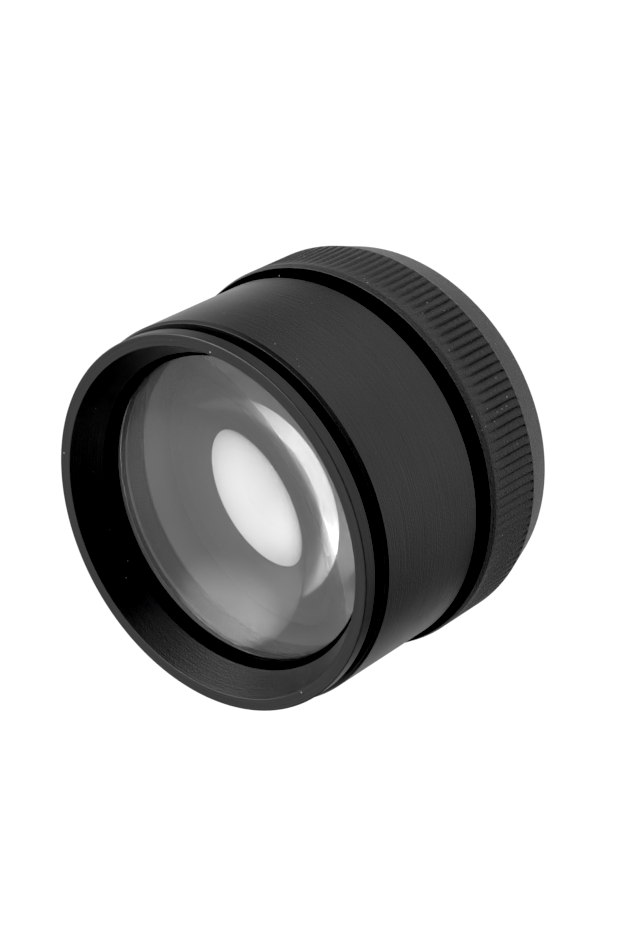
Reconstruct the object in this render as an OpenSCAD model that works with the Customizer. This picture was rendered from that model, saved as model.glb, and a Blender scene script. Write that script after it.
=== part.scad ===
// Focusing jeweler's loupe: a two-lens metal magnifier in millimetres.
// The optical axis is +Z. The loupe stands on its rear face at z = 0, with its flared front bezel up.
// Each cell is screwed and held as on the bench: lens, retaining ring, threaded spigot, spacer tube.
// The knurled ring runs on the barrel's neck and carries the rear lens cell, which only slides.
// Every diameter is built outwards from the clear opening of the front lens, wall by wall.

/* [Front lens] */
// Clear opening of the front lens
clear_d = 36; // [35:0.1:37]
// How far the front lens reaches under its retaining ring
front_ledge = 0.6; // [0.4:0.05:0.8]
// Thickness of the front lens at its rim
front_rim_t = 2.82; // [2.4:0.02:3]
// Radius of curvature of its outer face
front_outer_r = 98; // [80:1:140]
// Radius of curvature of its inner face
front_inner_r = 50.5; // [46:0.5:60]
// Thickness of the front retaining ring
front_ring_t = 0.62; // [0.5:0.02:0.8]

/* [Front bezel] */
// Wall of the spigot round the front lens
spigot_wall = 1.6; // [1.4:0.05:1.8]
// Length of the spigot below the flange
spigot_len = 8; // [7.6:0.1:8.6]
// Thickness of the shoulder under the front lens
front_seat_t = 1.1; // [0.8:0.05:1.3]
// How far the flange lies inside the barrel's surface
bezel_step = 0.4; // [0.1:0.05:0.7]
// Thickness of the flange
flange_t = 1.65; // [1.4:0.05:2]
// Width of the open groove between flange and barrel
groove_w = 1.35; // [1:0.05:1.7]
// Width of the flat lip, with its chamfer
lip_w = 1.4; // [1.1:0.05:1.8]
// Depth of the flare below the lip
flare_depth = 3.65; // [3:0.05:3.9]
// Chamfer on the flange's outer edge
bezel_edge = 0.3; // [0.2:0.05:0.5]

/* [Barrel] */
// Wall of the barrel round the bezel's spigot
barrel_wall = 2.05; // [1.8:0.05:2.4]
// Length of the plain barrel
barrel_len = 16.2; // [15.6:0.1:18]
// Height of the chamfer on the barrel's front edge
barrel_edge_h = 0.5; // [0.3:0.05:0.7]
// How far that chamfer leans in
barrel_edge_in = 0.2; // [0.15:0.05:0.35]
// Wall of the neck that carries the focus ring
neck_wall = 1.55; // [1.4:0.05:1.75]

/* [Spacer tube] */
// Length of the spacer tube
spacer_len = 6.85; // [6.4:0.05:7.4]
// Wall of the spacer tube
spacer_wall = 1.35; // [1.1:0.05:1.5]
// Number of glare grooves inside it
glare_grooves = 10; // [6:1:12]
// Depth of a glare groove
glare_depth = 0.3; // [0.2:0.05:0.4]

/* [Focus ring] */
// How far the ring stands out past the barrel
ring_step = 0.85; // [0.6:0.05:1.2]
// Height of the ring
ring_h = 12; // [11:0.1:13]
// Height of the smooth band at the ring's front edge
ring_edge_h = 0.75; // [0.5:0.05:1]
// How far that band leans in
ring_edge_in = 0.16; // [0.1:0.02:0.3]
// Height of the smooth bevel at the rear
ring_bevel_h = 3.9; // [3:0.1:4.6]
// How far the bevel leans in at the rear face
ring_bevel_in = 1.2; // [0.8:0.05:1.5]
// Depth of the web that rides between the cell's collar and the rear bezel
ring_web_t = 1.2; // [1:0.1:1.5]
// Number of flutes round the ring
knurl_count = 132; // [100:4:144]
// Depth of a flute
knurl_depth = 0.28; // [0.15:0.01:0.4]
// Part of the pitch that stays as a land
knurl_land = 0.5; // [0.35:0.05:0.65]
// Smooth line between the flutes and the front band
knurl_margin = 0.15; // [0.1:0.05:0.5]
// Smooth line between the bevel and the flutes
knurl_foot = 0.1; // [0.05:0.01:0.3]

/* [Rear lens] */
// How much smaller the rear clear opening is, on the radius
rear_step = 1.45; // [1.2:0.05:1.8]
// How far the rear lens reaches under its seat and its retaining ring
rear_ledge = 0.45; // [0.35:0.05:0.6]
// Thickness of the rear lens at its rim
rear_rim_t = 3.83; // [3.4:0.02:4.2]
// Radius of curvature of its inner face
rear_inner_r = 28.1; // [27:0.1:32]
// Radius of curvature of its outer face
rear_outer_r = 60; // [55:1:90]
// Thickness of the rear retaining ring
rear_ring_t = 1; // [0.8:0.05:1.1]

/* [Rear cell] */
// Wall of the cell's sliding body
cell_wall = 1.25; // [1.15:0.05:1.4]
// How far the collar that bears on the ring's web stands out
collar_step = 0.9; // [0.7:0.05:1.1]
// Thickness of the collar
collar_t = 1; // [0.8:0.05:1.2]
// Wall of the threaded spigot under the collar
cell_spigot_wall = 0.7; // [0.6:0.05:0.8]
// Height of the lens seat above the collar's rear face
rear_seat_h = 5.92; // [5.8:0.02:6.3]
// Thickness of the lens seat
rear_seat_t = 0.7; // [0.5:0.05:0.9]
// Width of the rear bezel round the spigot
rear_bezel_w = 1.1; // [0.9:0.05:1.3]
// Thickness of the rear bezel
rear_bezel_t = 1.4; // [1.2:0.05:1.6]
// How far the rear bezel lies inside the ring's rear face
rear_inset = 0.3; // [0.2:0.05:0.6]

/* [Focusing] */
// Gap between barrel and focus ring at mid travel
ring_gap = 1.8; // [1.7:0.05:2.2]
// Travel of the rear cell each way
focus_travel = 1.5; // [1:0.05:1.5]
// Number of guide screws
guide_count = 3; // [2:1:4]
// Diameter of a guide screw
guide_d = 1.6; // [1.4:0.1:1.8]
// Height of the guide screws above the neck's end
guide_inset = 2.3; // [2.1:0.1:2.5]
// Depth of a guide slot in the cell
slot_depth = 0.7; // [0.5:0.05:0.75]

/* [Fits] */
// Radial clearance of the running and screwed fits
fit = 0.05; // [0.03:0.01:0.08]
// Radial clearance of a lens in its bore
lens_fit = 0.1; // [0.05:0.01:0.12]
// Clearance between parts that pass without touching
free = 0.3; // [0.2:0.05:0.35]
// Clearance under the rim of a clamped lens
seat_fit = 0.02; // [0.01:0.01:0.04]
// Width of a spanner notch
notch_w = 1.4; // [1:0.1:2]

/* [Hidden] */
$fn = 180;

black = [0.15, 0.15, 0.16];
matt_black = [0.08, 0.08, 0.08];
glass = [0.78, 0.86, 0.88, 0.45];
steel = [0.6, 0.6, 0.62];

// A cut runs this far past the face that it opens
past = 0.5;

// How far a sphere of radius rad falls away from its crown at radius r
function sag(rad, r) = rad - sqrt(rad * rad - r * r);

// Radii of the front, from the lens out to the focus ring
front_clear_r = clear_d / 2;
front_lens_r = front_clear_r + front_ledge;
front_bore_r = front_lens_r + lens_fit;
front_seat_r = front_clear_r - fit;
spigot_r = front_bore_r + spigot_wall;
socket_r = spigot_r + fit;
barrel_r = socket_r + barrel_wall;
bezel_r = barrel_r - bezel_step;
lip_r = bezel_r - lip_w;
ring_r = barrel_r + ring_step;

// Radii of the rear, from the lens out to the ring's thread
rear_clear_r = front_clear_r - rear_step;
rear_lens_r = rear_clear_r + rear_ledge;
rear_bore_r = rear_lens_r + fit;
cell_spigot_r = rear_bore_r + cell_spigot_wall;
cell_r = rear_bore_r + cell_wall;
collar_r = cell_r + collar_step;
neck_bore_r = cell_r + fit;
neck_r = neck_bore_r + neck_wall;
thread_r = neck_r + fit;
web_r = cell_spigot_r + fit;
rear_bezel_r = web_r + rear_bezel_w;
recess_r = rear_bezel_r + free;

// Heights of the focus ring and what it carries
web_z = rear_inset + rear_bezel_t;
collar_z = web_z + ring_web_t;
collar_top_z = collar_z + collar_t;
knurl_z = ring_bevel_h + knurl_foot;
knurl_top_z = ring_h - ring_edge_h - knurl_margin;

// Heights of the barrel
barrel_z = ring_h + ring_gap;
barrel_top_z = barrel_z + barrel_len;
neck_z = collar_top_z + focus_travel + free;

// Heights of the bezel and the spacer tube
flange_z = barrel_top_z + groove_w;
lip_z = flange_z + flange_t;
spigot_z = flange_z - spigot_len;
shoulder_z = spigot_z - spacer_len;

// The front lens touches its seat at the seat's inner edge
front_seat_z = spigot_z + front_seat_t;
front_inner_crown_z = front_seat_z + seat_fit - sag(front_inner_r, front_seat_r);
front_rim_z = front_inner_crown_z + sag(front_inner_r, front_lens_r) + front_rim_t;
front_outer_crown_z = front_rim_z + sag(front_outer_r, front_lens_r);
front_ring_z = front_outer_crown_z - sag(front_outer_r, front_clear_r) + seat_fit;

// The rear lens hangs under its seat and is clamped from the rear
rear_seat_z = collar_z + rear_seat_h;
rear_inner_crown_z = rear_seat_z - seat_fit + sag(rear_inner_r, rear_clear_r);
rear_rim_z = rear_inner_crown_z - sag(rear_inner_r, rear_lens_r) - rear_rim_t;
rear_outer_crown_z = rear_rim_z - sag(rear_outer_r, rear_lens_r);
rear_ring_z = rear_outer_crown_z + sag(rear_outer_r, rear_clear_r) - seat_fit - rear_ring_t;

// Guide screws and their slots
guide_z = neck_z + guide_inset;
slot_half = guide_d / 2 + focus_travel + fit;
slot_floor_r = cell_r - slot_depth;
cell_top_z = guide_z + slot_half + rear_seat_t;
cell_end_z = rear_inset + rear_bezel_t / 2;

// A round tube from radius inner to radius outer
module tube(outer, inner, z0, z1) {
    translate([0, 0, z0])
        difference() {
            cylinder(r = outer, h = z1 - z0);
            translate([0, 0, -past])
                cylinder(r = inner, h = z1 - z0 + 2 * past);
        }
}

// A lens: two spherical faces and a ground rim
module lens(r, top_crown, top_r, low_crown, low_r) {
    intersection() {
        translate([0, 0, top_crown - top_r])
            sphere(r = top_r, $fn = 400);
        translate([0, 0, low_crown + low_r])
            sphere(r = low_r, $fn = 400);
        translate([0, 0, low_crown - past])
            cylinder(r = r, h = top_crown - low_crown + 2 * past);
    }
}

// Two notches for a pin spanner across a ring
module spanner_notches(inner, outer, z, depth, turn) {
    rotate([0, 0, turn])
        for (side = [0, 180])
            rotate([0, 0, side])
                translate([inner - past, -notch_w / 2, z])
                    cube([outer - inner + 2 * past, notch_w, depth + past]);
}

// One flute seen along the axis: a flat floor and sloping sides that open past the rim
module flute() {
    half = ring_r * sin(180 / knurl_count * (1 - knurl_land));
    floor_half = half / 3;
    mouth_half = half + (half - floor_half) / 2;
    polygon([
        [ring_r - knurl_depth, -floor_half],
        [ring_r + knurl_depth / 2, -mouth_half],
        [ring_r + knurl_depth / 2, mouth_half],
        [ring_r - knurl_depth, floor_half]
    ]);
}

module barrel() {
    color(black)
        difference() {
            rotate_extrude()
                polygon([
                    [neck_bore_r, neck_z],
                    [neck_r, neck_z],
                    [neck_r, barrel_z],
                    [barrel_r, barrel_z],
                    [barrel_r, barrel_top_z - barrel_edge_h],
                    [barrel_r - barrel_edge_in, barrel_top_z],
                    [socket_r, barrel_top_z],
                    [socket_r, shoulder_z],
                    [neck_bore_r, shoulder_z]
                ]);
            for (i = [0 : guide_count - 1])
                rotate([0, 0, i * 360 / guide_count])
                    translate([neck_bore_r - past, 0, guide_z])
                        rotate([0, 90, 0])
                            cylinder(d = guide_d + fit, h = neck_r - neck_bore_r + 2 * past);
        }
}

module front_bezel() {
    color(black)
        rotate_extrude()
            polygon([
                [lip_r, lip_z],
                [bezel_r - bezel_edge, lip_z],
                [bezel_r, lip_z - bezel_edge],
                [bezel_r, flange_z],
                [spigot_r, flange_z],
                [spigot_r, spigot_z],
                [front_seat_r, spigot_z],
                [front_seat_r, front_seat_z],
                [front_bore_r, front_seat_z],
                [front_bore_r, lip_z - flare_depth]
            ]);
}

module front_lens() {
    color(glass)
        lens(front_lens_r, front_outer_crown_z, front_outer_r, front_inner_crown_z, front_inner_r);
}

// A plain ring, turned home by a rubber friction tool
module front_lens_ring() {
    color(black)
        tube(front_bore_r - fit, front_clear_r, front_ring_z, front_ring_z + front_ring_t);
}

module spacer_tube() {
    outer = socket_r - fit;
    inner = outer - spacer_wall;
    pitch = spacer_len / (glare_grooves + 1);
    color(matt_black)
        difference() {
            tube(outer, inner, shoulder_z, spigot_z);
            for (i = [1 : glare_grooves])
                translate([0, 0, shoulder_z + i * pitch])
                    rotate_extrude()
                        polygon([
                            [inner - glare_depth, -2 * glare_depth / 3],
                            [inner - glare_depth, 2 * glare_depth / 3],
                            [inner + glare_depth, 0]
                        ]);
        }
}

module guide_screws() {
    tip_r = slot_floor_r + fit;
    head_r = neck_r - 3 * fit;
    color(steel)
        for (i = [0 : guide_count - 1])
            rotate([0, 0, i * 360 / guide_count])
                difference() {
                    translate([tip_r, 0, guide_z])
                        rotate([0, 90, 0])
                            cylinder(d = guide_d - fit, h = head_r - tip_r);
                    translate([head_r - guide_d / 4, -guide_d, guide_z - guide_d / 8])
                        cube([guide_d, 2 * guide_d, guide_d / 4]);
                }
}

module rear_cell() {
    color(black)
        difference() {
            rotate_extrude()
                polygon([
                    [rear_bore_r, cell_end_z],
                    [cell_spigot_r, cell_end_z],
                    [cell_spigot_r, collar_z],
                    [collar_r, collar_z],
                    [collar_r, collar_top_z],
                    [cell_r, collar_top_z],
                    [cell_r, cell_top_z],
                    [rear_bore_r, cell_top_z],
                    [rear_clear_r, rear_seat_z + rear_seat_t],
                    [rear_clear_r, rear_seat_z],
                    [rear_bore_r, rear_seat_z]
                ]);
            for (i = [0 : guide_count - 1])
                rotate([0, 0, i * 360 / guide_count]) {
                    width = guide_d + 2 * fit;
                    straight = 2 * slot_half - guide_d;
                    translate([slot_floor_r, -width / 2, guide_z - straight / 2])
                        cube([slot_depth + past, width, straight]);
                    for (end = [-1, 1])
                        translate([slot_floor_r, 0, guide_z + end * straight / 2])
                            rotate([0, 90, 0])
                                cylinder(d = width, h = slot_depth + past);
                }
        }
}

module rear_lens() {
    color(glass)
        lens(rear_lens_r, rear_inner_crown_z, rear_inner_r, rear_outer_crown_z, rear_outer_r);
}

module rear_lens_ring() {
    outer = rear_bore_r - fit;
    color(black)
        difference() {
            tube(outer, rear_clear_r, rear_ring_z, rear_ring_z + rear_ring_t);
            translate([0, 0, 2 * rear_ring_z + rear_ring_t])
                mirror([0, 0, 1])
                    spanner_notches(rear_clear_r, outer, rear_ring_z + rear_ring_t / 2, rear_ring_t / 2, 0);
        }
}

module rear_bezel() {
    color(black)
        difference() {
            rotate_extrude()
                polygon([
                    [rear_bore_r, cell_end_z],
                    [web_r, cell_end_z],
                    [web_r, web_z],
                    [rear_bezel_r, web_z],
                    [rear_bezel_r, rear_inset],
                    [web_r, rear_inset]
                ]);
            translate([0, 0, 2 * rear_inset])
                mirror([0, 0, 1])
                    spanner_notches(web_r + fit, rear_bezel_r, rear_inset - rear_bezel_t / 3, rear_bezel_t / 3, 90);
        }
}

module focus_ring() {
    color(black)
        difference() {
            rotate_extrude()
                polygon([
                    [recess_r, 0],
                    [ring_r - ring_bevel_in, 0],
                    [ring_r, ring_bevel_h],
                    [ring_r, ring_h - ring_edge_h],
                    [ring_r - ring_edge_in, ring_h],
                    [thread_r, ring_h],
                    [thread_r, collar_z],
                    [web_r, collar_z],
                    [web_r, web_z],
                    [recess_r, web_z]
                ]);
            // Flutes milled between two smooth bands
            translate([0, 0, knurl_z])
                linear_extrude(height = knurl_top_z - knurl_z)
                    for (i = [0 : knurl_count - 1])
                        rotate([0, 0, i * 360 / knurl_count])
                            flute();
        }
}

barrel();
front_bezel();
front_lens();
front_lens_ring();
spacer_tube();
guide_screws();
rear_cell();
rear_lens();
rear_lens_ring();
rear_bezel();
focus_ring();
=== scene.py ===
# %% [markdown]
# # Dressing a focusing loupe
# The loupe is a small turned instrument: two glass lenses in a black anodised aluminium body, and a fluted
# ring at the rear that screws along the barrel's neck to focus. Its solids come from CAD and stay the fixed
# frame. Blender adds what a drawing leaves out: broken edges, threads, turning marks, dust and light.

# %% Load the frame
import math

import bmesh
import bpy
import numpy as np
from mathutils import Matrix, Vector


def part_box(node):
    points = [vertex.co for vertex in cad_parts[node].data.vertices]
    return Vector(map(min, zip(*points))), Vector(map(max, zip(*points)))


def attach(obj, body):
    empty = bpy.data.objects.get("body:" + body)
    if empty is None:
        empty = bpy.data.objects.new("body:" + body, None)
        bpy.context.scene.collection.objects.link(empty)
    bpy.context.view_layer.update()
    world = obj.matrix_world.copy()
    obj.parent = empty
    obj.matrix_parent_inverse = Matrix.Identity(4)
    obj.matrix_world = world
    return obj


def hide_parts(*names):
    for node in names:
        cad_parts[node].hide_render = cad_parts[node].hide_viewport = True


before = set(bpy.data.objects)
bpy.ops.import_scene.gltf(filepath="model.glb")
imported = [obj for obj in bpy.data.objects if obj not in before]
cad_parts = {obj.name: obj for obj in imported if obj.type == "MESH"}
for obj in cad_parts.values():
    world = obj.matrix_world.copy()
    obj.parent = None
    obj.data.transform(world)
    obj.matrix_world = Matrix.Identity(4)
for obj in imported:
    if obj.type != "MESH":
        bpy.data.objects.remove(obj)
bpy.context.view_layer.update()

# %% [markdown]
# Every part but the screws is round about the optical axis, +Z. The box of a CAD node gives its radius and
# its two ends, so most sizes are read from the frame. Radii and steps inside a part are written down in its
# own cell, in millimetres.

# %% Sizes in millimetres
mm = 0.001


def round_part(node):
    """Outer radius, lower end and upper end of a CAD node, in mm."""
    low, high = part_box(node)
    return high.x / mm, low.z / mm, high.z / mm


barrel_r, neck_end, barrel_top = round_part("barrel")
bezel_r, spigot_end, lip_z = round_part("front_bezel")
ring_r, ring_rear, ring_front = round_part("focus_ring")
spacer_r, shoulder_z, spacer_top = round_part("spacer_tube")
collar_r, cell_end, cell_top = round_part("rear_cell")
nut_r, nut_rear, nut_front = round_part("rear_bezel")
print(f"ring {2 * ring_r:.1f} mm across, loupe {lip_z:.1f} mm long, barrel {2 * barrel_r:.1f} mm across")

# %% [markdown]
# The camera comes first. It was fitted to the circles of the photographed rims, and it looks down on the
# front bezel from the side, with the loupe's axis leaning across the picture.

# %% Camera
right = Vector((-0.47842, -0.61307, -0.62870))
up = Vector((0.87813, -0.33465, -0.34191))
back = Vector((-0.00078, -0.71566, 0.69845))
place = Vector((0.15, -199.29, 209.14)) * mm
lens_mm = 94.31
camera = bpy.data.objects.new("camera", bpy.data.cameras.new("camera"))
bpy.context.scene.collection.objects.link(camera)
camera.data.lens, camera.data.sensor_width = lens_mm, 36
camera.data.clip_start, camera.data.clip_end = 0.01, 20
camera.matrix_world = Matrix(
    (
        (right.x, up.x, back.x, place.x),
        (right.y, up.y, back.y, place.y),
        (right.z, up.z, back.z, place.z),
        (0, 0, 0, 1),
    )
)
bpy.context.scene.camera = camera
print(f"camera {place.length:.3f} m from the rear face, {lens_mm} mm lens")

# %% [markdown]
# Node trees are built in the script. One small function adds a node of any kind: its settings are the node's
# own properties, and its inputs are values or other nodes. Another turns a hex colour into linear light.

# %% Adding a node, and colours


def add(tree, kind, inputs=None, **settings):
    """Adds a node, sets its properties, and fills its sockets with values, sockets or nodes."""
    made = tree.nodes.new(kind)
    for name, value in settings.items():
        setattr(made, name, value)
    for key, value in (inputs or {}).items():
        if isinstance(value, bpy.types.Node):
            value = value.outputs[0]
        if isinstance(value, bpy.types.NodeSocket):
            tree.links.new(value, made.inputs[key])
        else:
            made.inputs[key].default_value = value
    return made


def linear(code, alpha=1.0):
    """An sRGB hex colour as the linear RGBA that Blender's sockets take."""
    parts = [int(code[i : i + 2], 16) / 255 for i in (1, 3, 5)]
    return (*[c / 12.92 if c <= 0.04045 else ((c + 0.055) / 1.055) ** 2.4 for c in parts], alpha)


print(f"middle grey #808080 is {linear('#808080')[0]:.3f} in linear light")

# %% [markdown]
# ## Finishes
# Patterns are set out in millimetres. The first one is dust, which lies on the metal and on the glass.
# Grains of dust are 0.01 to 0.05 mm wide, less than a pixel, so they are drawn about 0.1 mm wide.

# %% Dust


def millimetres(tree):
    """Object coordinates scaled so that one unit of a pattern is one millimetre."""
    coordinates = add(tree, "ShaderNodeTexCoord").outputs["Object"]
    return add(tree, "ShaderNodeVectorMath", {0: coordinates, "Scale": 1 / mm}, operation="SCALE")


def dust(tree, point, cells_per_mm, share, size):
    """Specks of dust: a share of the cells of a Voronoi pattern hold one round grain, of a radius up to size."""
    cell = add(tree, "ShaderNodeTexVoronoi", {"Vector": point, "Scale": cells_per_mm})
    pick = add(tree, "ShaderNodeSeparateColor", {0: cell.outputs["Color"]})
    reach = add(tree, "ShaderNodeMapRange", {"Value": pick, 1: 1 - share, 2: 1.0, 3: 0.0, 4: size * cells_per_mm})
    return add(tree, "ShaderNodeMath", {0: reach, 1: cell.outputs["Distance"]}, operation="GREATER_THAN")


metal_cells, glass_cells = 1.2, 0.45
print(f"places for a grain: {metal_cells ** 3:.1f} in a mm3 of pattern on metal, {glass_cells ** 3:.2f} on glass")

# %% [markdown]
# Black anodised aluminium: the metal is turned, etched, oxidised and dyed. The dyed oxide is a hard, clear
# layer over a nearly black ground, so almost all the light that it returns is gloss from the surface, like
# a dark plastic rather than a metal. The cutting tool leaves fine rings round the axis. The pattern runs
# along z + 0.8 r, so the same rings lie on cylinders, cones and flat faces. Corners take a lighter colour
# where the edge attribute of the turned mesh marks them: partly rubbed metal, partly a painted highlight
# along the bevels. Dust has settled on it. The ring's flutes are cut with a coarser tool, so they are
# rougher and paler and hold more dust. The faces round the glass and in the ring's gap get a near black
# with almost no gloss, its index set low: painted shade, for the shade that falls there.

# %% Anodised aluminium


def anodised(name, ground, streak, roughness, ring_height, grain_height, dusty=0.06, index=1.56, wear_and_highlight="#3c3c3f"):
    """Black anodised aluminium with turning marks ring_height and an etched grain grain_height high, in mm."""
    material = bpy.data.materials.new(name)
    material.use_nodes = True
    tree = material.node_tree
    shader = tree.nodes["Principled BSDF"]
    shader.inputs["IOR"].default_value = index
    point = millimetres(tree)
    axes = add(tree, "ShaderNodeSeparateXYZ", {0: point})
    flat = add(tree, "ShaderNodeCombineXYZ", {"X": axes.outputs["X"], "Y": axes.outputs["Y"]})
    radius = add(tree, "ShaderNodeVectorMath", {0: flat}, operation="LENGTH")
    along = add(
        tree,
        "ShaderNodeMath",
        {0: radius.outputs["Value"], 1: 0.8, 2: axes.outputs["Z"]},
        operation="MULTIPLY_ADD",
    )
    # A tool feed of 0.05 to 0.1 mm is finer than a pixel, so the rings are drawn about 0.17 mm apart
    turned = add(
        tree,
        "ShaderNodeCombineXYZ",
        {
            "X": add(tree, "ShaderNodeMath", {0: axes.outputs["X"], 1: 0.12}, operation="MULTIPLY"),
            "Y": add(tree, "ShaderNodeMath", {0: axes.outputs["Y"], 1: 0.12}, operation="MULTIPLY"),
            "Z": add(tree, "ShaderNodeMath", {0: along, 1: 6.0}, operation="MULTIPLY"),
        },
    )
    rings = add(tree, "ShaderNodeTexNoise", {"Vector": turned, "Scale": 1.0, "Detail": 3.0})
    # The etch leaves a grain of 0.02 to 0.05 mm, drawn 0.2 mm wide, and the dye bath clouds of about 8 mm
    grain = add(tree, "ShaderNodeTexNoise", {"Vector": point, "Scale": 5.0, "Detail": 2.0})
    cloud = add(tree, "ShaderNodeTexNoise", {"Vector": point, "Scale": 0.12, "Detail": 2.0})
    speck = dust(tree, point, metal_cells, dusty, 0.09)
    # The dye takes unevenly in the etched grain and along the rings
    uptake = add(tree, "ShaderNodeMath", {0: rings, 1: grain}, operation="ADD")
    uptake = add(tree, "ShaderNodeMapRange", {"Value": uptake, 1: 0.7, 2: 1.3, 3: 0.0, 4: 1.0})
    tone = add(tree, "ShaderNodeMix", {"Factor": uptake, 6: linear(ground), 7: linear(streak)}, data_type="RGBA")
    # Corners take a lighter colour: partly rubbed metal, partly a painted highlight along their bevels
    edge = add(tree, "ShaderNodeAttribute", attribute_name="edge")
    patchiness = add(tree, "ShaderNodeMapRange", {"Value": grain, 1: 0.35, 2: 0.75, 3: 0.0, 4: 0.5})
    wear_and_highlight_mask = add(tree, "ShaderNodeMath", {0: edge.outputs["Fac"], 1: patchiness}, operation="MULTIPLY")
    tone = add(tree, "ShaderNodeMix", {"Factor": wear_and_highlight_mask, 6: tone.outputs[2], 7: linear(wear_and_highlight)}, data_type="RGBA")
    tone = add(tree, "ShaderNodeMix", {"Factor": speck, 6: tone.outputs[2], 7: linear("#b9b9b6")}, data_type="RGBA")
    tree.links.new(tone.outputs[2], shader.inputs["Base Color"])
    matt = add(
        tree, "ShaderNodeMapRange", {"Value": cloud, 1: 0.3, 2: 0.7, 3: roughness - 0.03, 4: roughness + 0.03}
    )
    matt = add(tree, "ShaderNodeMath", {0: matt, 1: speck}, operation="MAXIMUM")
    tree.links.new(matt.outputs[0], shader.inputs["Roughness"])
    height = add(tree, "ShaderNodeMath", {0: rings, 1: ring_height}, operation="MULTIPLY")
    height = add(tree, "ShaderNodeMath", {0: grain, 1: grain_height, 2: height}, operation="MULTIPLY_ADD")
    bump = add(tree, "ShaderNodeBump", {"Height": height, "Distance": mm, "Strength": 1.0})
    tree.links.new(bump.outputs[0], shader.inputs["Normal"])
    return material


turned_black = anodised("black_anodised_turned", "#020203", "#1c1c1d", 0.38, 0.020, 0.025, dusty=0.1)
# The flutes' lighter corner colour is pale, to paint the highlight line on the ring's bevel
fluted_black = anodised(
    "black_anodised_fluted", "#0e0e0e", "#343435", 0.46, 0.010, 0.11, dusty=0.6, index=1.58, wear_and_highlight="#707073"
)
inner_black = anodised("matt_black_anodised_inside", "#2c2c2c", "#363636", 0.65, 0.001, 0.001, dusty=0.0)
# Painted shade: a near black without gloss, for the faces round the glass and in the ring's gap
painted_shade_black = anodised("dead_black_anodised", "#030303", "#060606", 0.75, 0.001, 0.02, dusty=0.05, index=1.2)
print("finishes:", turned_black.name, fluted_black.name, inner_black.name, painted_shade_black.name)

# %% [markdown]
# Optical crown glass: polished to a mirror, so its roughness is zero and its gloss comes from the index of
# refraction alone, 1.52. Both lenses are uncoated. A few grains of dust lie on them, and a thin film of it
# dulls the front one. Their rims are ground with coarse grit and left bare, so they are a pale matt grey.

# %% Glass and its ground rim


def optical_glass(name, dusty, film):
    """Crown glass, clear all through, with grains and a thin film of dust that scatter a little light."""
    material = bpy.data.materials.new(name)
    material.use_nodes = True
    tree = material.node_tree
    shader = tree.nodes["Principled BSDF"]
    shader.inputs["IOR"].default_value = 1.52
    speck = dust(tree, millimetres(tree), glass_cells, dusty, 0.13)
    clear = add(tree, "ShaderNodeMath", {0: 1.0 - film, 1: speck}, operation="SUBTRACT", use_clamp=True)
    tint = add(tree, "ShaderNodeMix", {"Factor": speck, 6: linear("#fefefe"), 7: linear("#c9c9c6")}, data_type="RGBA")
    tree.links.new(clear.outputs[0], shader.inputs["Transmission Weight"])
    tree.links.new(tint.outputs[2], shader.inputs["Base Color"])
    tree.links.new(speck.outputs[0], shader.inputs["Roughness"])
    return material


clear_glass = optical_glass("optical_crown_glass", 0.10, 0.045)
inner_glass = optical_glass("optical_crown_glass_inner", 0.04, 0.01)
ground_rim = bpy.data.materials.new("ground_glass_rim")
ground_rim.use_nodes = True
rim_tree = ground_rim.node_tree
rim_shader = rim_tree.nodes["Principled BSDF"]
rim_shader.inputs["Roughness"].default_value = 0.7
rim_shader.inputs["IOR"].default_value = 1.52
# Grit of about 0.1 mm leaves pits of that size
pits = add(rim_tree, "ShaderNodeTexNoise", {"Vector": millimetres(rim_tree), "Scale": 8.0, "Detail": 2.0})
frost = add(rim_tree, "ShaderNodeMix", {"Factor": pits, 6: linear("#7a7a7a"), 7: linear("#8c8c8c")}, data_type="RGBA")
rim_tree.links.new(frost.outputs[2], rim_shader.inputs["Base Color"])
print("finishes:", clear_glass.name, ground_rim.name)

# %% [markdown]
# Steel for the three guide screws: small turned screws of plain steel. A metal keeps Blender's own IOR, and
# its colour is that of its reflection.

# %% Screw steel
screw_steel = bpy.data.materials.new("turned_screw_steel")
screw_steel.use_nodes = True
steel_tree = screw_steel.node_tree
steel = steel_tree.nodes["Principled BSDF"]
steel.inputs["Metallic"].default_value = 1.0
# Tool marks of 0.03 mm, drawn 0.17 mm wide
steel_marks = add(steel_tree, "ShaderNodeTexNoise", {"Vector": millimetres(steel_tree), "Scale": 6.0, "Detail": 3.0})
steel_tone = add(
    steel_tree, "ShaderNodeMix", {"Factor": steel_marks, 6: linear("#a9a9ad"), 7: linear("#c6c6c9")}, data_type="RGBA"
)
steel_rough = add(steel_tree, "ShaderNodeMapRange", {"Value": steel_marks, 1: 0.3, 2: 0.7, 3: 0.25, 4: 0.4})
steel_tree.links.new(steel_tone.outputs[2], steel.inputs["Base Color"])
steel_tree.links.new(steel_rough.outputs[0], steel.inputs["Roughness"])
print("finish:", screw_steel.name)

# %% [markdown]
# ## Turning on the lathe
# A turned part is one outline swept round an axis. The outline is drawn here as corners in (r, z). No real
# corner is sharp: each is broken by a file or a tool, and that narrow curve is what catches the light. So
# every corner becomes five points on a small arc, with one more point just past each end, which keeps the
# flat faces flat when they are shaded smooth.

# %% Outlines with broken corners


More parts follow.
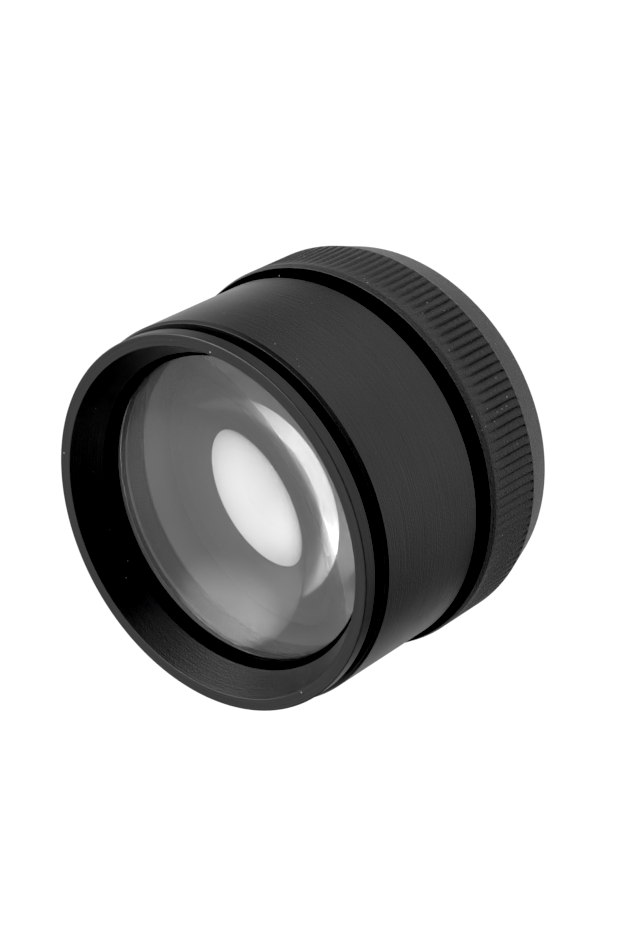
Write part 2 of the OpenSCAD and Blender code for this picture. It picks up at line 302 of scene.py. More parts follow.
def outline(corners, broken=0.07, closed=True):
    """Rounds the corners of an outline in mm. A corner is (r, z) or (r, z, values)."""
    points = [np.array(c[:2], float) for c in corners]
    extra = [c[2] if len(c) > 2 else {} for c in corners]
    area = sum(a[0] * b[1] - b[0] * a[1] for a, b in zip(points, points[1:] + points[:1]))
    if area < 0:
        points, extra = points[::-1], extra[::-1]
    made = []
    past = 0.04  # how far past an arc its extra point lies, in mm
    straight = 1.5  # half the angle, in radians, from which a corner counts as none
    for i, here in enumerate(points):
        values = {k: v for k, v in extra[i].items() if k not in ("broken", "wear_and_highlight")}
        size = extra[i].get("broken", broken)
        at_end = not closed and i in (0, len(points) - 1)
        before, after = points[i - 1] - here, points[(i + 1) % len(points)] - here
        length = np.linalg.norm(before), np.linalg.norm(after)
        before, after = before / length[0], after / length[1]
        half = math.acos(np.clip(before @ after, -1, 1)) / 2
        if at_end or size == 0 or half > straight:
            made.append((*here, values))
            continue
        # The arc takes up to 0.3 of either side, so that the arcs at both ends of a side have room
        reach = min(size / math.tan(half), 0.3 * length[0], 0.3 * length[1])
        rounding = reach * math.tan(half)
        centre = here + (before + after) / np.linalg.norm(before + after) * rounding / math.sin(half)
        first, last = here + before * reach - centre, here + after * reach - centre
        sweep = math.pi - 2 * half
        outer = before[0] * after[1] - before[1] * after[0] < 0
        sharp = extra[i].get("wear_and_highlight", min(1.0, sweep / (math.pi / 2)))
        if reach + past < 0.45 * length[0]:
            made.append((*(here + before * (reach + past)), values))
        for k in range(5):
            t = k / 4
            spoke = (math.sin((1 - t) * sweep) * first + math.sin(t * sweep) * last) / math.sin(sweep)
            # Outer corners get most of the lighter colour mid-arc: wear and a painted highlight
            wear_and_highlight = (0.3, 0.8, 1.0, 0.8, 0.3)[k] * sharp if outer else 0.0
            made.append((*(centre + spoke), {**values, "edge": wear_and_highlight}))
        if reach + past < 0.45 * length[1]:
            made.append((*(here + after * (reach + past)), values))
    return made


print("a square with broken corners has", len(outline([(1, 0), (2, 0), (2, 1), (1, 1)])), "points")

# %% [markdown]
# The outline becomes a line of vertices in the XZ plane. Its points carry what the sweep needs, as attributes:
# how much lighter colour a corner gets, for wear and a painted highlight, how deep a thread or a flute cuts
# there, and which faces get the second finish.

# %% The outline as a mesh
CARRIED = ("edge", "thread", "flute", "mouth", "rim")


def drawn(name, points, closed=True):
    """The outline as an open or closed line of vertices in the XZ plane, with its values as attributes."""
    mesh = bpy.data.meshes.new(name)
    count = len(points)
    edges = [(i, (i + 1) % count) for i in range(count if closed else count - 1)]
    mesh.from_pydata([(r * mm, 0, z * mm) for r, z, _ in points], edges, [])
    for key in CARRIED:
        data = mesh.attributes.new(key, "FLOAT", "POINT")
        data.data.foreach_set("value", [values.get(key, 0.0) for _, _, values in points])
    return mesh


print("an outline carries", ", ".join(CARRIED))

# %% [markdown]
# Three trees of Geometry Nodes are built in this script. They share two small steps: the inputs of each get
# names, and where a tree makes faces, the edges that bend sharply stay sharp.

# %% Two steps that the trees share


def new_tree(name, inputs):
    """A Geometry Nodes tree with named inputs and one output, Part. Returns it and its input sockets."""
    tree = bpy.data.node_groups.new(name, "GeometryNodeTree")
    for label, kind, value in inputs:
        socket = tree.interface.new_socket(label, in_out="INPUT", socket_type="NodeSocket" + kind)
        if value is not None:
            socket.default_value = value
    tree.interface.new_socket("Part", in_out="OUTPUT", socket_type="NodeSocketGeometry")
    return tree, add(tree, "NodeGroupInput").outputs


sharp_angle = math.radians(40)


def keep_sharp(tree, part):
    """Leaves edges that bend by more than sharp_angle sharp."""
    bend = add(tree, "GeometryNodeInputMeshEdgeAngle")
    sharp = add(tree, "FunctionNodeCompare", {0: bend, 1: sharp_angle}, data_type="FLOAT", operation="GREATER_THAN")
    return add(
        tree, "GeometryNodeSetShadeSmooth", {0: part, "Selection": sharp, "Shade Smooth": False}, domain="EDGE"
    )


print(f"edges past {math.degrees(sharp_angle):.0f} degrees stay sharp")

# %% [markdown]
# The lathe is one of these trees, and it wraps a grid into a ring. The grid's points are numbered column by
# column, so the number of a point gives its column, which is its angle, and its row, which picks the point
# of the outline. For flutes, the columns are crowded towards the bottoms of the grooves, so a few are enough.

# %% A grid that wraps into a ring


crowding = 0.06  # how strongly the columns gather at the bottoms of the grooves


def wrapped_grid(tree, given):
    """A grid of rows by columns. Returns it, the row of each point, and its share of a full turn."""
    count = add(tree, "GeometryNodeAttributeDomainSize", {0: given["Outline"]}).outputs["Point Count"]
    rows = add(tree, "ShaderNodeMath", {0: count, 1: given["Closed"]}, operation="ADD")
    columns = add(tree, "ShaderNodeMath", {0: given["Columns"], 1: 1.0}, operation="ADD")
    grid = add(tree, "GeometryNodeMeshGrid", {"Vertices X": columns, "Vertices Y": rows})
    index = add(tree, "GeometryNodeInputIndex")
    # A little is added to the quotient, so that rounding drops no point into the column before its own
    column = add(tree, "ShaderNodeMath", {0: index, 1: rows}, operation="DIVIDE")
    column = add(tree, "ShaderNodeMath", {0: column, 1: 1e-4}, operation="ADD")
    column = add(tree, "ShaderNodeMath", {0: column}, operation="FLOOR")
    row = add(tree, "ShaderNodeMath", {0: column, 1: rows}, operation="MULTIPLY")
    row = add(tree, "ShaderNodeMath", {0: index, 1: row}, operation="SUBTRACT")
    row = add(tree, "ShaderNodeMath", {0: row, 1: count}, operation="MODULO")
    share = add(tree, "ShaderNodeMath", {0: column, 1: given["Columns"]}, operation="MODULO")
    share = add(tree, "ShaderNodeMath", {0: share, 1: given["Columns"]}, operation="DIVIDE")
    # share + crowding * sin(2 pi flutes share) / flutes
    wave = add(tree, "ShaderNodeMath", {0: share, 1: given["Flutes"]}, operation="MULTIPLY")
    wave = add(tree, "ShaderNodeMath", {0: wave, 1: 2 * math.pi}, operation="MULTIPLY")
    wave = add(tree, "ShaderNodeMath", {0: wave}, operation="SINE")
    wave = add(tree, "ShaderNodeMath", {0: wave, 1: given["Flutes"]}, operation="DIVIDE")
    share = add(tree, "ShaderNodeMath", {0: wave, 1: crowding, 2: share}, operation="MULTIPLY_ADD")
    return grid, row, share


print(f"columns are shifted by up to {crowding:.0%} of a flute")

# %% [markdown]
# Threads and flutes are cut alike: both push a point towards the axis by a depth that the outline carries. A
# thread is a plain V, and its phase runs with height and angle together. A flute's runs with the angle
# alone. Its groove falls in a long curve over three quarters of its mouth, and then rises in a short wall.

# %% Cutting threads and flutes


def thread_cut(tree, given, height, share, depth):
    """The cut of the thread at a point: none on a crest, and depth half way between two crests."""
    climb = add(tree, "ShaderNodeMath", {0: height, 1: given["Thread Lead"]}, operation="DIVIDE")
    climb = add(tree, "ShaderNodeMath", {0: climb, 1: share}, operation="SUBTRACT")
    # From crest to crest the ping-pong node takes two units, one down and one up
    slopes = add(tree, "ShaderNodeMath", {0: given["Thread Starts"], 1: 2.0}, operation="MULTIPLY")
    climb = add(tree, "ShaderNodeMath", {0: climb, 1: slopes}, operation="MULTIPLY")
    climb = add(tree, "ShaderNodeMath", {0: climb, 1: 1.0}, operation="PINGPONG")
    return add(tree, "ShaderNodeMath", {0: climb, 1: depth}, operation="MULTIPLY")


bottom = 0.75  # where the bottom of a groove lies in its pitch


def flute_cut(tree, given, share, mouth, depth, deeper):
    """The cut of the flutes at a point, added to deeper. Mouth is the share of the pitch that is cut."""
    phase = add(tree, "ShaderNodeMath", {0: share, 1: given["Flutes"], 2: 1 - bottom}, operation="MULTIPLY_ADD")
    phase = add(tree, "ShaderNodeMath", {0: phase}, operation="FRACT")
    first = add(tree, "ShaderNodeMath", {0: mouth, 1: -bottom, 2: bottom}, operation="MULTIPLY_ADD")
    last = add(tree, "ShaderNodeMath", {0: mouth, 1: 1 - bottom, 2: bottom}, operation="MULTIPLY_ADD")
    fall = add(tree, "ShaderNodeMapRange", {"Value": phase, 1: first, 2: bottom, 3: 0.0, 4: 1.0})
    fall = add(tree, "ShaderNodeMath", {0: fall, 1: fall}, operation="MULTIPLY")
    rise = add(tree, "ShaderNodeMapRange", {"Value": phase, 1: bottom, 2: last, 3: 1.0, 4: 0.0})
    scoop = add(tree, "ShaderNodeMath", {0: fall, 1: rise}, operation="MINIMUM")
    return add(tree, "ShaderNodeMath", {0: scoop, 1: depth, 2: deeper}, operation="MULTIPLY_ADD")


print(f"a groove falls over {bottom:.0%} of its mouth and rises over {1 - bottom:.0%}")

# %% [markdown]
# Last, the points go to their radius, angle and height. What the outline carries is stored on the grid before
# its points move, while their numbers still name the rows: "edge" is how much of the lighter colour a corner
# gets, for wear and a painted highlight, and "rim" marks the faces that get the second finish.

# %% The lathe tree


def carried(tree, given, row, key, kind="FLOAT"):
    """What the outline carries at each point's row: a named value, or its position."""
    if key == "position":
        field = add(tree, "GeometryNodeInputPosition")
    else:
        field = add(tree, "GeometryNodeInputNamedAttribute", {"Name": key}, data_type="FLOAT")
    return add(
        tree, "GeometryNodeSampleIndex", {"Geometry": given["Outline"], "Value": field, "Index": row},
        data_type=kind, domain="POINT",
    )


def lathe_tree():
    """Wraps a grid round the axis along the outline, and cuts the thread and the flutes that it carries."""
    tree, given = new_tree(
        "lathe",
        (
            ("Outline", "Geometry", None),
            ("Columns", "Int", 256),
            ("Closed", "Int", 1),
            ("Thread Starts", "Float", 1.0),
            ("Thread Lead", "Float", 0.0005),
            ("Flutes", "Float", 0.0),
            ("Finish", "Material", None),
            ("Rim Finish", "Material", None),
        ),
    )
    part, row, share = wrapped_grid(tree, given)
    thread, flute, mouth = (carried(tree, given, row, key) for key in ("thread", "flute", "mouth"))
    spot = add(tree, "ShaderNodeSeparateXYZ", {0: carried(tree, given, row, "position", "FLOAT_VECTOR")})
    cut = thread_cut(tree, given, spot.outputs["Z"], share, thread)
    cut = flute_cut(tree, given, share, mouth, flute, cut)
    radius = add(tree, "ShaderNodeMath", {0: spot.outputs["X"], 1: cut}, operation="SUBTRACT")
    angle = add(tree, "ShaderNodeMath", {0: share, 1: 2 * math.pi}, operation="MULTIPLY")
    x = add(tree, "ShaderNodeMath", {0: angle}, operation="COSINE")
    x = add(tree, "ShaderNodeMath", {0: x, 1: radius}, operation="MULTIPLY")
    y = add(tree, "ShaderNodeMath", {0: angle}, operation="SINE")
    y = add(tree, "ShaderNodeMath", {0: y, 1: radius}, operation="MULTIPLY")
    moved = add(tree, "ShaderNodeCombineXYZ", {"X": x, "Y": y, "Z": spot.outputs["Z"]})
    for key in ("edge", "rim"):
        part = add(
            tree,
            "GeometryNodeStoreNamedAttribute",
            {"Geometry": part, "Name": key, "Value": carried(tree, given, row, key)},
            data_type="FLOAT",
            domain="POINT",
        )
    part = add(tree, "GeometryNodeSetPosition", {"Geometry": part, "Position": moved})
    # The grid's first and last columns meet, and so do the points on the axis
    part = add(tree, "GeometryNodeMergeByDistance", {"Geometry": part, "Distance": 2e-7})
    part = add(tree, "GeometryNodeSetShadeSmooth", {0: part, "Shade Smooth": True}, domain="FACE")
    part = keep_sharp(tree, part)
    part = add(tree, "GeometryNodeRealizeInstances", {0: part})
    part = add(tree, "GeometryNodeSetMaterial", {0: part, "Material": given["Finish"]})
    on_rim = add(tree, "GeometryNodeInputNamedAttribute", {"Name": "rim"}, data_type="FLOAT")
    on_rim = add(tree, "FunctionNodeCompare", {0: on_rim, 1: 0.9}, data_type="FLOAT", operation="GREATER_THAN")
    part = add(
        tree, "GeometryNodeSetMaterial", {0: part, "Selection": on_rim, "Material": given["Rim Finish"]}
    )
    add(tree, "NodeGroupOutput", {0: part})
    return tree


lathe = lathe_tree()
print("lathe tree:", len(lathe.nodes), "nodes")

# %% [markdown]
# A tree is used through a modifier. Its inputs are set by each socket's identifier before the object is
# first evaluated. The result is then copied into a plain mesh and the modifier goes, so that the piece is
# ordinary mesh for the frame and the export.

# %% Running a tree and keeping its mesh


def run_tree(name, tree, mesh, **inputs):
    """Runs a tree on a mesh and returns a plain object. An input Thread_Lead fills the socket Thread Lead."""
    piece = bpy.data.objects.new(name, mesh)
    bpy.context.scene.collection.objects.link(piece)
    modifier = piece.modifiers.new(tree.name, "NODES")
    modifier.node_group = tree
    sockets = {s.name: s.identifier for s in tree.interface.items_tree if s.in_out == "INPUT"}
    for key, value in inputs.items():
        modifier[sockets[key.replace("_", " ")]] = value
    bpy.context.view_layer.update()
    result = bpy.data.meshes.new_from_object(piece.evaluated_get(bpy.context.evaluated_depsgraph_get()))
    piece.modifiers.clear()
    piece.data = result
    result.name = name
    return piece


def turn(name, points, finish, closed=True, columns=288, starts=1, lead=0.5, flutes=0, rim_finish=None):
    """Turns an outline into a solid about the optical axis."""
    return run_tree(
        name, lathe, drawn(name + "_outline", points, closed),
        Columns=columns, Closed=int(closed), Thread_Starts=float(starts), Thread_Lead=lead * mm,
        Flutes=float(flutes), Finish=finish, Rim_Finish=rim_finish or finish,
    )


def measure(piece):
    """Prints a piece's volume, faces and open edges. A volume above zero says that its faces point outwards."""
    form = bmesh.new()
    form.from_mesh(piece.data)
    volume = form.calc_volume(signed=True) / mm**3
    loose = sum(not e.is_manifold for e in form.edges)
    triangles = sum(len(f.verts) - 2 for f in form.faces)
    form.free()
    print(f"{piece.name}: {volume:.1f} mm3, {triangles} triangles, {loose} open edges")
    return piece


def seat(piece, body, slot, *nodes):
    """Puts a finished piece on its body in place of the CAD nodes that it stands for."""
    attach(piece, body)
    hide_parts(*nodes)
    return measure(piece)


# %% [markdown]
# ## The barrel
# One piece of bar, bored and turned: the plain tube that the hand holds, and the smaller neck that shows in
# the gap at the rear. The neck carries a coarse thread of two starts and 3 mm lead, so that half a turn of
# the ring moves the rear lens by 1.5 mm. Rows of points every 0.1 mm let the lathe cut it.

# %% Barrel with its threaded neck


def threaded(r, low, high, depth, step):
    """Rows of points up a cylinder that carry a thread, with one plain turn-out at each end."""
    rows = np.arange(low, high + step / 2, step)
    fade = np.clip(np.minimum(rows - low, high - rows) / 0.3, 0, 1)
    return [(r, float(z), {"broken": 0, "thread": depth * mm * float(f)}) for z, f in zip(rows, fade)]


neck_r, neck_bore_r, socket_r, barrel_rear = 19.9, 18.35, 20.35, 13.8
barrel_outline = outline(
    [
        (neck_bore_r, neck_end),
        (neck_r, neck_end),
        *threaded(neck_r, neck_end + 0.5, barrel_rear - 0.5, 0.3, 0.1),
        (neck_r, barrel_rear, {"broken": 0.15}),
        (barrel_r, barrel_rear),
        (barrel_r, barrel_top - 0.5),
        (barrel_r - 0.2, barrel_top, {"broken": 0.05, "wear_and_highlight": 0.2}),
        (socket_r, barrel_top),
        (socket_r, shoulder_z),
        (neck_bore_r, shoulder_z),
    ]
)
barrel = turn("barrel_body", barrel_outline, turned_black, columns=240, starts=2, lead=3.0)

# %% [markdown]
# Three screw holes cross the neck. A second tree cuts round a part: it sets copies of one cutter at equal
# angles about the axis and takes them away with a Boolean.

# %% The tree that cuts round a part


def cutting_tree():
    """Takes copies of a cutter, at equal angles about the axis, away from a part."""
    tree, given = new_tree(
        "cut_round",
        (("Part", "Geometry", None), ("Cutter", "Object", None), ("Count", "Int", 3), ("First Angle", "Float", 0.0)),
    )
    spots = add(tree, "GeometryNodePoints", {"Count": given["Count"]})
    index = add(tree, "GeometryNodeInputIndex")
    angle = add(tree, "ShaderNodeMath", {0: index, 1: given["Count"]}, operation="DIVIDE")
    angle = add(tree, "ShaderNodeMath", {0: angle, 1: 2 * math.pi, 2: given["First Angle"]}, operation="MULTIPLY_ADD")
    angle = add(tree, "ShaderNodeCombineXYZ", {"Z": angle})
    cutter = add(tree, "GeometryNodeObjectInfo", {"Object": given["Cutter"]})
    copies = add(
        tree,
        "GeometryNodeInstanceOnPoints",
        {"Points": spots, "Instance": cutter.outputs["Geometry"], "Rotation": angle},
    )
    copies = add(tree, "GeometryNodeRealizeInstances", {0: copies})
    cut = add(tree, "GeometryNodeMeshBoolean", {0: given["Part"], 1: copies}, operation="DIFFERENCE", solver="EXACT")
    part = add(tree, "GeometryNodeRealizeInstances", {0: keep_sharp(tree, cut)})
    add(tree, "NodeGroupOutput", {0: part})
    return tree


cut_round = cutting_tree()
print("cutting tree:", len(cut_round.nodes), "nodes")

# %% [markdown]
# A cutter is a prism along +X, given by its outline across and by its two ends. The holes for the screws and
# the slots that their tips slide in have the same kind of outline, with straight sides and round ends.

# %% Cutters


def cutter_from(name, shape, start, end, finish):
    """A prism along +X from start to end, in mm: shape is its outline in (y, z)."""
    mesh = bpy.data.meshes.new(name)
    count = len(shape)
    mesh.from_pydata(
        [(x * mm, y * mm, z * mm) for x in (start, end) for y, z in shape],
        [],
        [
            list(range(count))[::-1],
            list(range(count, 2 * count)),
            *[(i, (i + 1) % count, count + (i + 1) % count, count + i) for i in range(count)],
        ],
    )
    mesh.materials.append(finish)
    for face in mesh.polygons:
        face.use_smooth = True
    cutter = bpy.data.objects.new(name, mesh)
    bpy.context.scene.collection.objects.link(cutter)
    return cutter


def cut(piece, cutter, count, first=0.0):
    """Cuts a piece with copies of a cutter round the axis. The cutter is used up."""
    mesh = piece.data
    name = piece.name
    bpy.data.objects.remove(piece)
    piece = run_tree(name, cut_round, mesh, Cutter=cutter, Count=count, First_Angle=math.radians(first))
    bpy.data.objects.remove(cutter)
    return piece


def rounded_slot(width, low, high, steps=10):
    """A slot's outline in (y, z): straight sides and round ends."""
    r = width / 2
    ends = [(0, high - r, 0), (0, low + r, math.pi)]
    return [
        (y + r * math.cos(a + k * math.pi / steps), z + r * math.sin(a + k * math.pi / steps))
        for y, z, a in ends
        for k in range(steps + 1)
    ]


# A hair of straight side keeps the points at the two ends of a round hole apart
screw_z, hole_r, hair = 8.0, 0.825, 0.0001
hole = rounded_slot(2 * hole_r, screw_z - hole_r - hair, screw_z + hole_r + hair)
print("a hole's outline has", len(hole), "points")

# %% Screw holes in the neck
barrel = cut(barrel, cutter_from("screw_hole", hole, 17.8, 20.4, turned_black), 3)
seat(barrel, "barrel_group", "black_anodised", "barrel")

# %% [markdown]
# ## The front bezel
# The bezel screws into the barrel, and its flange leaves a narrow open groove there. Its mouth is flared
# down to the lens like a shallow funnel. The bore below the flare gets a glossless black, painted shade,
# and a step in it is the lens's seat.

# %% Front bezel
seat_r, spigot_r, bore_r, lip_r = 17.95, 20.3, 18.7, 20.6
seat_z, flange_z, flare_depth = 24.45, barrel_top + 1.35, 3.65
bezel_outline = outline(
    [
        (seat_r, spigot_end),
        (spigot_r, spigot_end),
        (spigot_r, flange_z),
        (bezel_r, flange_z),
        (bezel_r, lip_z, {"broken": 0.15, "wear_and_highlight": 0.3}),
        (lip_r, lip_z),
        (bore_r, lip_z - flare_depth, {"broken": 0.04}),
        # From here down the bore gets the glossless black that paints its shade:
        # the rim value picks the second finish
        (bore_r, lip_z - 3.75, {"broken": 0, "rim": 1.0}),
        (bore_r, seat_z, {"rim": 1.0}),
        (seat_r, seat_z, {"rim": 1.0}),
    ]
)
bezel = turn("front_bezel_flared", bezel_outline, turned_black, columns=288, rim_finish=painted_shade_black)
seat(bezel, "barrel_group", "black_anodised", "front_bezel")

# %% [markdown]
# ## The lenses
# A lens is turned like the rest: two arcs of circles and a ground rim. Light bends by the shape of the
# glass, so the arcs have many rows and the shading is smooth. Only the rim has the ground finish.

# %% Lenses


# The ground rim starts a hair outside the polished face, on a row of its own
chamfer, chamfer_start = 0.12, 0.1199


def sagitta(curve, r):
    """How far a sphere of radius curve falls away from its crown at radius r."""
    return curve - math.sqrt(curve * curve - r * r)


def lens_outline(rim_r, low_z, low_r, high_z, high_r, rows=56):
    """From the lower crown out to the rim, up it, and back in over the upper face, in mm."""
    radii = [float(r) for r in np.sin(np.linspace(0, math.pi / 2, rows)) * (rim_r - chamfer)]
    below = [(r, low_z + sagitta(low_r, r), {}) for r in radii]
    above = [(r, high_z - sagitta(high_r, r), {}) for r in radii[::-1]]
    start_r = rim_r - chamfer_start
    rim = [
        (start_r, low_z + sagitta(low_r, start_r), {"rim": 1.0}),
        (rim_r, low_z + sagitta(low_r, rim_r) + chamfer, {"rim": 1.0}),
        (rim_r, high_z - sagitta(high_r, rim_r) - chamfer, {"rim": 1.0}),
        (start_r, high_z - sagitta(high_r, start_r), {"rim": 1.0}),
    ]
    return below + rim + above


front_inner_curve, front_outer_curve = 50.5, 98.0
rear_outer_curve, rear_inner_curve = 60.0, 28.1
front_rim_r, front_low, front_high = round_part("front_lens")
rear_rim_r, rear_low, rear_high = round_part("rear_lens")
front_lens = turn(
    "front_lens_glass", lens_outline(front_rim_r, front_low, front_inner_curve, front_high, front_outer_curve),
    clear_glass, closed=False, columns=256, rim_finish=ground_rim,
)
rear_lens = turn(
    "rear_lens_glass", lens_outline(rear_rim_r, rear_low, rear_outer_curve, rear_high, rear_inner_curve),
    inner_glass, closed=False, columns=256, rim_finish=ground_rim,
)
seat(front_lens, "barrel_group", "optical_glass", "front_lens")
seat(rear_lens, "rear_group", "optical_glass", "rear_lens")

# %% [markdown]
# ## Retaining rings
# A thin ring screwed in over the rim holds each lens. The front one is plain and is turned by a rubber
# tool, and the rear one has two notches for a pin spanner.

# %% Retaining rings


def flat_ring(inner_r, outer_r, low, high):
    """The four corners of a plain ring."""
    return [(inner_r, low), (outer_r, low), (outer_r, high), (inner_r, high)]


clear_r, cell_clear_r = 18.0, 16.55
# The front ring gets the glossless black that paints the shade round the glass
front_ring = turn(
    "front_retaining_ring", outline(flat_ring(clear_r, *round_part("front_lens_ring")), broken=0.04), painted_shade_black
)
seat(front_ring, "barrel_group", "black_anodised", "front_lens_ring")

back_out, back_low, back_high = round_part("rear_lens_ring")
rear_ring = turn(
    "rear_retaining_ring", outline(flat_ring(cell_clear_r, back_out, back_low, back_high), broken=0.05),
    turned_black, columns=240,
)
notch_half, notch_top = 0.7, (back_low + back_high) / 2
notch_shape = [(-notch_half, 3.0), (notch_half, 3.0), (notch_half, notch_top), (-notch_half, notch_top)]
rear_ring = cut(rear_ring, cutter_from("rear_notch", notch_shape, 16.0, 17.5, turned_black), 2)
seat(rear_ring, "rear_group", "black_anodised", "rear_lens_ring")

# %% [markdown]
# ## The spacer tube
# The tube between the bezel's spigot and the barrel's shoulder keeps the front lens at its distance. Its
# bore is cut with sharp grooves and left matt, so that light from the side dies in it.

# %% Spacer tube
spacer_bore, grooves, groove_depth, groove_half = spacer_r - 1.35, 10, 0.3, 0.1
pitch = (spacer_top - shoulder_z) / (grooves + 1)
teeth = []
for i in range(grooves, 0, -1):
    z = shoulder_z + i * pitch
    for r, height in ((spacer_bore, z + groove_half), (spacer_bore + groove_depth, z), (spacer_bore, z - groove_half)):
        teeth.append((r, height, {"broken": 0.02}))
spacer_outline = outline(flat_ring(spacer_bore, spacer_r, shoulder_z, spacer_top) + teeth, broken=0.05)
spacer = turn("spacer_tube_grooved", spacer_outline, inner_black, columns=192)
seat(spacer, "barrel_group", "matt_black", "spacer_tube")

# %% [markdown]
# ## The rear cell and its nut
# The cell slides in the neck without turning. Three slots in its side take the guide screws' tips. Its
# collar bears on the ring's web, and a nut with two spanner notches, the rear bezel, closes it from behind.

# %% Rear cell
cell_r, cell_bore_r, cell_spigot_r = 18.3, 17.05, 17.75
web_r, collar_rear, collar_front = 17.8, 2.9, 3.9
cell_seat_low, cell_seat_high = 8.82, 9.52
cell = turn(
    "rear_cell_body",
    outline(
        [
            (cell_bore_r, cell_end), (cell_spigot_r, cell_end), (cell_spigot_r, collar_rear),
            (collar_r, collar_rear), (collar_r, collar_front), (cell_r, collar_front), (cell_r, cell_top),
            (cell_bore_r, cell_top), (cell_clear_r, cell_seat_high), (cell_clear_r, cell_seat_low),
            (cell_bore_r, cell_seat_low),
        ]
    ),
    inner_black, columns=216,
)
slot_half = 2.4  # the tip's radius, its 1.5 mm of travel each way, and some room
slot = rounded_slot(1.7, screw_z - slot_half, screw_z + slot_half)
cell = cut(cell, cutter_from("guide_slot", slot, 17.6, 18.9, turned_black), 3)
seat(cell, "rear_group", "black_anodised", "rear_cell")

# %% Nut of the rear cell
nut = turn(
    "rear_bezel_nut",
    outline(
        [
            (cell_bore_r, cell_end), (web_r, nut_rear), (nut_r, nut_rear), (nut_r, nut_front),
            (web_r, nut_front), (web_r, cell_end),
        ]
    ),
    turned_black, columns=240,
)
notch_top = nut_rear + 0.467
notch_shape = [(-notch_half, 0.0), (notch_half, 0.0), (notch_half, notch_top), (-notch_half, notch_top)]
nut = cut(nut, cutter_from("nut_notch", notch_shape, web_r + 0.05, 19.4, turned_black), 2, 90)
seat(nut, "rear_group", "black_anodised", "rear_bezel")

# %% [markdown]
# ## The guide screws
# Three small screws with a slot and a plain tip, one for each slot of the cell. One screw is turned on the
# same lathe about its own axis, slotted, and laid along +X.

# %% One guide screw
tip, head = 17.65, 19.75
tip_r, tip_end, screw_r = 0.55, 0.7, 0.775
screw_outline = outline(
    [(0.0, 0.0), (tip_r, 0.0), (tip_r, tip_end), (screw_r, 0.85)]
    + threaded(screw_r, 0.9, head - tip - 0.1, 0.1, 0.0583)
    + [(0.7, head - tip), (0.0, head - tip)],
    broken=0.03, closed=False,
)
screw = turn("guide_screw", screw_outline, screw_steel, closed=False, columns=24, lead=0.35)
slotter = cutter_from("screw_slot", [(-0.2, 1.7), (0.2, 1.7), (0.2, 3.0), (-0.2, 3.0)], -1.0, 1.0, screw_steel)
screw = cut(screw, slotter, 1)
screw.data.transform(Matrix.Translation((tip * mm, 0, screw_z * mm)) @ Matrix.Rotation(math.pi / 2, 4, "Y"))
one_screw = screw.data
bpy.data.objects.remove(screw)
print(f"a screw {head - tip:.1f} mm long:", len(one_screw.polygons), "faces")

# %% [markdown]
# A third tree sets three copies of it round the neck.

# %% Three screws round the neck


def setting_tree():
    """Sets copies of a part at equal angles about the axis."""
    tree, given = new_tree(
        "set_round", (("Part", "Geometry", None), ("Count", "Int", 1), ("Finish", "Material", None))
    )
    spots = add(tree, "GeometryNodePoints", {"Count": given["Count"]})
    angle = add(
        tree, "ShaderNodeMath", {0: add(tree, "GeometryNodeInputIndex"), 1: given["Count"]}, operation="DIVIDE"
    )
    angle = add(tree, "ShaderNodeMath", {0: angle, 1: 2 * math.pi}, operation="MULTIPLY")
    angle = add(tree, "ShaderNodeCombineXYZ", {"Z": angle})
    copies = add(
        tree, "GeometryNodeInstanceOnPoints", {"Points": spots, "Instance": given["Part"], "Rotation": angle}
    )
    copies = add(tree, "GeometryNodeRealizeInstances", {0: copies})
    copies = add(tree, "GeometryNodeSetMaterial", {0: copies, "Material": given["Finish"]})
    add(tree, "NodeGroupOutput", {0: copies})
    return tree


screws = run_tree("guide_screws_slotted", setting_tree(), one_screw, Count=3, Finish=screw_steel)
seat(screws, "barrel_group", "screw_steel", "guide_screws")

# %% [markdown]
# ## The focus ring
# The fingers turn this ring, so its rim is fluted with 132 straight grooves. Across a groove the metal falls
# away in a long curve and comes back in a short steep wall, which gives each one a bright side and a dark
# line. A small cutter runs in and out of the rim in a long flat arc, so each groove is deepest in its middle,
# fades out wide and soft at the front, and narrows towards the bevel. A smooth band stays in front and a
# smooth cone behind. The front face and the bore get a glossless black: painted shade, for the gap where
# no light comes back.

# %% Fluted focus ring
thread_r, ring_bore_r, web_rear = 19.95, 19.2, 1.7
# Height, depth of the groove there, and the share of its pitch that its mouth takes
flute_rows = [
    (ring_r, z, {"broken": 0, "flute": depth * mm, "mouth": mouth})
    for z, depth, mouth in (
        (4.05, 0.0, 0.50), (4.15, 0.09, 0.54), (4.4, 0.16, 0.62), (5.0, 0.21, 0.76), (6.0, 0.25, 0.88),
        (7.2, 0.265, 0.95), (8.4, 0.26, 0.98), (9.2, 0.22, 1.0), (9.9, 0.15, 1.0), (10.4, 0.08, 1.0),
        (10.8, 0.03, 1.0), (11.2, 0.0, 1.0),
    )
]
ring_outline = outline(
    [
        (ring_bore_r, ring_rear),
        (ring_r - 1.2, ring_rear),
        # This corner is broken wide, and its lighter colour is set far stronger than elsewhere:
        # it paints the highlight line along the bevel
        (ring_r, 3.9, {"broken": 0.5, "wear_and_highlight": 12.0}),
        *flute_rows,
        (ring_r, ring_front - 0.75, {"broken": 0.05}),
        (ring_r - 0.16, ring_front, {"broken": 0.05}),
        (ring_r - 0.26, ring_front, {"broken": 0, "rim": 1.0}),
        (thread_r, ring_front, {"broken": 0, "rim": 1.0}),
        (thread_r, collar_rear, {"broken": 0, "rim": 1.0}),
        (web_r, collar_rear, {"broken": 0}),
        (web_r, web_rear, {"broken": 0}),
        (ring_bore_r, web_rear, {"broken": 0}),
    ]
)
ring = turn("focus_ring_fluted", ring_outline, fluted_black, columns=1584, flutes=132, rim_finish=painted_shade_black)
seat(ring, "ring_group", "black_anodised", "focus_ring")

